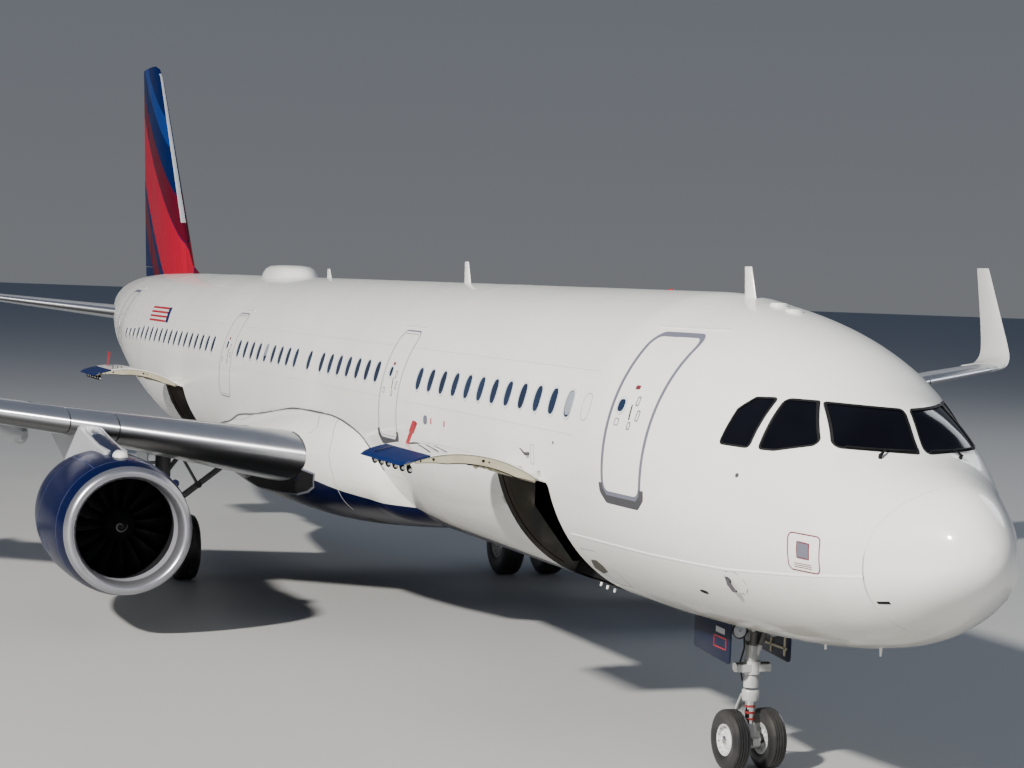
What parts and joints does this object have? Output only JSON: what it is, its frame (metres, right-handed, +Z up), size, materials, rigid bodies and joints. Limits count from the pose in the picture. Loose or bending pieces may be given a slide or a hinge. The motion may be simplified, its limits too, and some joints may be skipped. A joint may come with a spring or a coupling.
{
  "type": "single-aisle jet airliner, 1:2 scale model",
  "caption": "Stretched single-aisle jet airliner on its landing gear, with wing-mounted turbofans, upturned wing tips, steerable nose gear and open cargo doors, as a half-size model.",
  "frame": {"origin": "on the ground, midway along the length and across the width", "axes": "+X forward towards the nose, +Y to port, +Z up"},
  "size_m": [22.255, 17.9238, 5.88],
  "materials": {
    "white_paint": "gloss",
    "grey_paint": "semi-gloss",
    "blue_paint": "gloss",
    "polished_metal": "polished",
    "engine_metal": "satin",
    "gear_metal": "semi-gloss",
    "wheel_paint": "semi-gloss",
    "tyre_rubber": "matt",
    "cockpit_glass": "gloss"
  },
  "bodies": {
    "airframe": {"radome": "white_paint", "fuselage_front": "white_paint", "fuselage_centre": "white_paint", "fuselage_rear": "white_paint", "tail_cone": "white_paint", "belly_fairing": "white_paint", "aerial_dome": "white_paint", "cockpit_windows": "cockpit_glass", "cabin_door_1_left": "white_paint", "cabin_door_1_right": "white_paint", "cabin_door_2_left": "white_paint", "cabin_door_2_right": "white_paint", "cabin_door_3_left": "white_paint", "cabin_door_3_right": "white_paint", "cabin_door_4_left": "white_paint", "cabin_door_4_right": "white_paint", "wing_left": "grey_paint", "leading_edge_left": "polished_metal", "flap_left": "grey_paint", "sharklet_left": "white_paint", "pylon_left": "grey_paint", "inlet_lip_left": "polished_metal", "engine_cowl_left": "blue_paint", "engine_core_left": "engine_metal", "nose_door_left": "blue_paint", "main_leg_left": "gear_metal", "leg_door_left": "white_paint", "wing_right": "grey_paint", "leading_edge_right": "polished_metal", "flap_right": "grey_paint", "sharklet_right": "white_paint", "pylon_right": "grey_paint", "inlet_lip_right": "polished_metal", "engine_cowl_right": "blue_paint", "engine_core_right": "engine_metal", "nose_door_right": "blue_paint", "main_leg_right": "gear_metal", "leg_door_right": "white_paint", "fin": "blue_paint", "tailplane": "grey_paint", "nose_leg": "gear_metal"},
    "nose_steering": {"nose_steering": "gear_metal"},
    "nose_wheels": {"wheels_nose": "wheel_paint", "tyre_nose_left": "tyre_rubber", "tyre_nose_right": "tyre_rubber"},
    "cargo_door_front": {"cargo_door_front": "white_paint"},
    "cargo_door_rear": {"cargo_door_rear": "white_paint"},
    "rudder": {"rudder": "blue_paint"},
    "main_wheels_left": {"wheels_main_left": "wheel_paint", "tyre_main_left_inner": "tyre_rubber", "tyre_main_left_outer": "tyre_rubber"},
    "fan_left": {"fan_left": "engine_metal"},
    "aileron_left": {"aileron_left": "grey_paint"},
    "elevator_left": {"elevator_left": "grey_paint"},
    "main_wheels_right": {"wheels_main_right": "wheel_paint", "tyre_main_right_inner": "tyre_rubber", "tyre_main_right_outer": "tyre_rubber"},
    "fan_right": {"fan_right": "engine_metal"},
    "aileron_right": {"aileron_right": "grey_paint"},
    "elevator_right": {"elevator_right": "grey_paint"}
  },
  "joints": [
    {"name": "nose_steering_turn", "type": "hinge", "parent": "airframe", "child": "nose_steering", "pos_m": [8.5925, 0, 0.45], "axis": [0, 0, 1], "range_deg": [-75, 75]},
    {"name": "nose_wheels_roll", "type": "hinge", "parent": "nose_steering", "child": "nose_wheels", "pos_m": [8.5925, 0, 0.18887], "axis": [0, 1, 0], "continuous": true},
    {"name": "main_wheels_left_roll", "type": "hinge", "parent": "airframe", "child": "main_wheels_left", "pos_m": [0.1425, 1.8975, 0.31231], "axis": [0, 1, 0], "continuous": true},
    {"name": "main_wheels_right_roll", "type": "hinge", "parent": "airframe", "child": "main_wheels_right", "pos_m": [0.1425, -1.8975, 0.31231], "axis": [0, 1, 0], "continuous": true},
    {"name": "fan_left_spin", "type": "hinge", "parent": "airframe", "child": "fan_left", "pos_m": [3.4025, 2.875, 0.88], "axis": [1, 0, 0], "continuous": true},
    {"name": "fan_right_spin", "type": "hinge", "parent": "airframe", "child": "fan_right", "pos_m": [3.4025, -2.875, 0.88], "axis": [1, 0, 0], "continuous": true},
    {"name": "cargo_door_front_swing", "type": "hinge", "parent": "airframe", "child": "cargo_door_front", "pos_m": [7.0275, -0.9765, 1.6875], "axis": [1, 0, 0], "range_deg": [0, 137]},
    {"name": "cargo_door_rear_swing", "type": "hinge", "parent": "airframe", "child": "cargo_door_rear", "pos_m": [-3.7275, -0.9765, 1.6875], "axis": [1, 0, 0], "range_deg": [0, 137]},
    {"name": "rudder_turn", "type": "hinge", "parent": "airframe", "child": "rudder", "pos_m": [-9.2475, 0, 3.01], "axis": [-0.3591, 0, 0.9333], "range_deg": [-25, 25]},
    {"name": "aileron_left_turn", "type": "hinge", "parent": "airframe", "child": "aileron_left", "pos_m": [-1.16401, 6.57, 1.94771], "axis": [-0.3206, 0.9403, 0.1138], "range_deg": [-25, 25]},
    {"name": "aileron_right_turn", "type": "hinge", "parent": "airframe", "child": "aileron_right", "pos_m": [-1.16401, -6.57, 1.94771], "axis": [0.3206, 0.9403, -0.1138], "range_deg": [-25, 25]},
    {"name": "elevator_left_turn", "type": "hinge", "parent": "airframe", "child": "elevator_left", "pos_m": [-9.81677, 0.51, 2.37311], "axis": [-0.2806, 0.956, 0.0851], "range_deg": [-17, 30]},
    {"name": "elevator_right_turn", "type": "hinge", "parent": "airframe", "child": "elevator_right", "pos_m": [-9.81677, -0.51, 2.37311], "axis": [0.2806, 0.956, -0.0851], "range_deg": [-17, 30]}
  ]
}
